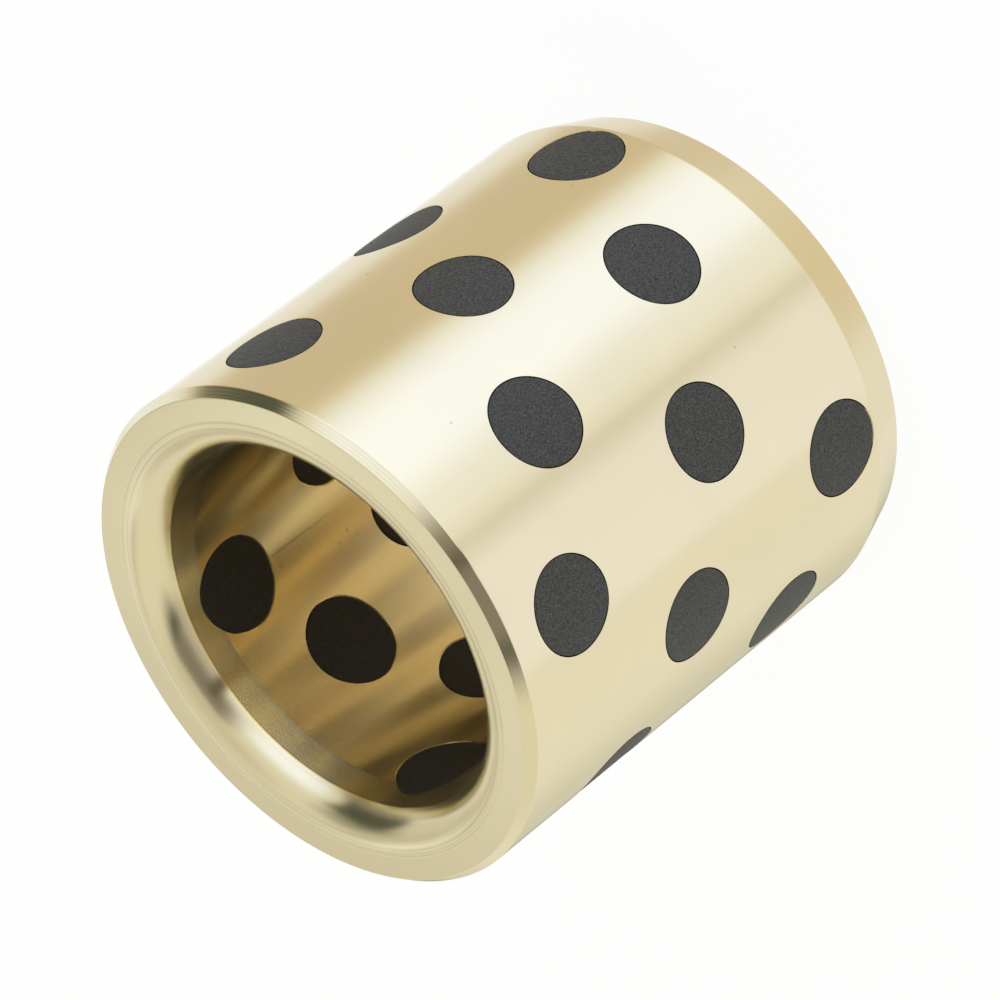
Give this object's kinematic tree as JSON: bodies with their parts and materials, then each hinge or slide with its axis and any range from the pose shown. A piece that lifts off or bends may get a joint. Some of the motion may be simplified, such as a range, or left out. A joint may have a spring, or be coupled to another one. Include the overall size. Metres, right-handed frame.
{
  "type": "sleeve bushing",
  "caption": "Plain cylindrical bronze sleeve bushing with solid graphite plugs through its wall, a tapered lead-in end and a rounded bore entry.",
  "frame": {"origin": "centre of the flat lead-in end face, on the bore axis", "axes": "+Z along the bore axis, from the tapered lead-in end to the end with the rounded bore entry; +X through the first plug of the top ring"},
  "size_m": [0.028, 0.028, 0.03],
  "materials": {
    "bronze": "satin, turned",
    "graphite": "matte, fine-grained"
  },
  "bodies": {
    "root": {"bronze_sleeve": "bronze", "graphite_plug_ring1_1": "graphite", "graphite_plug_ring1_2": "graphite", "graphite_plug_ring1_3": "graphite", "graphite_plug_ring1_4": "graphite", "graphite_plug_ring2_1": "graphite", "graphite_plug_ring2_2": "graphite", "graphite_plug_ring2_3": "graphite", "graphite_plug_ring2_4": "graphite", "graphite_plug_ring3_1": "graphite", "graphite_plug_ring3_2": "graphite", "graphite_plug_ring3_3": "graphite", "graphite_plug_ring3_4": "graphite", "graphite_plug_ring4_1": "graphite", "graphite_plug_ring4_2": "graphite", "graphite_plug_ring4_3": "graphite", "graphite_plug_ring4_4": "graphite", "graphite_plug_ring5_1": "graphite", "graphite_plug_ring5_2": "graphite", "graphite_plug_ring5_3": "graphite", "graphite_plug_ring5_4": "graphite", "graphite_plug_ring6_1": "graphite", "graphite_plug_ring6_2": "graphite", "graphite_plug_ring6_3": "graphite", "graphite_plug_ring6_4": "graphite"}
  },
  "joints": []
}
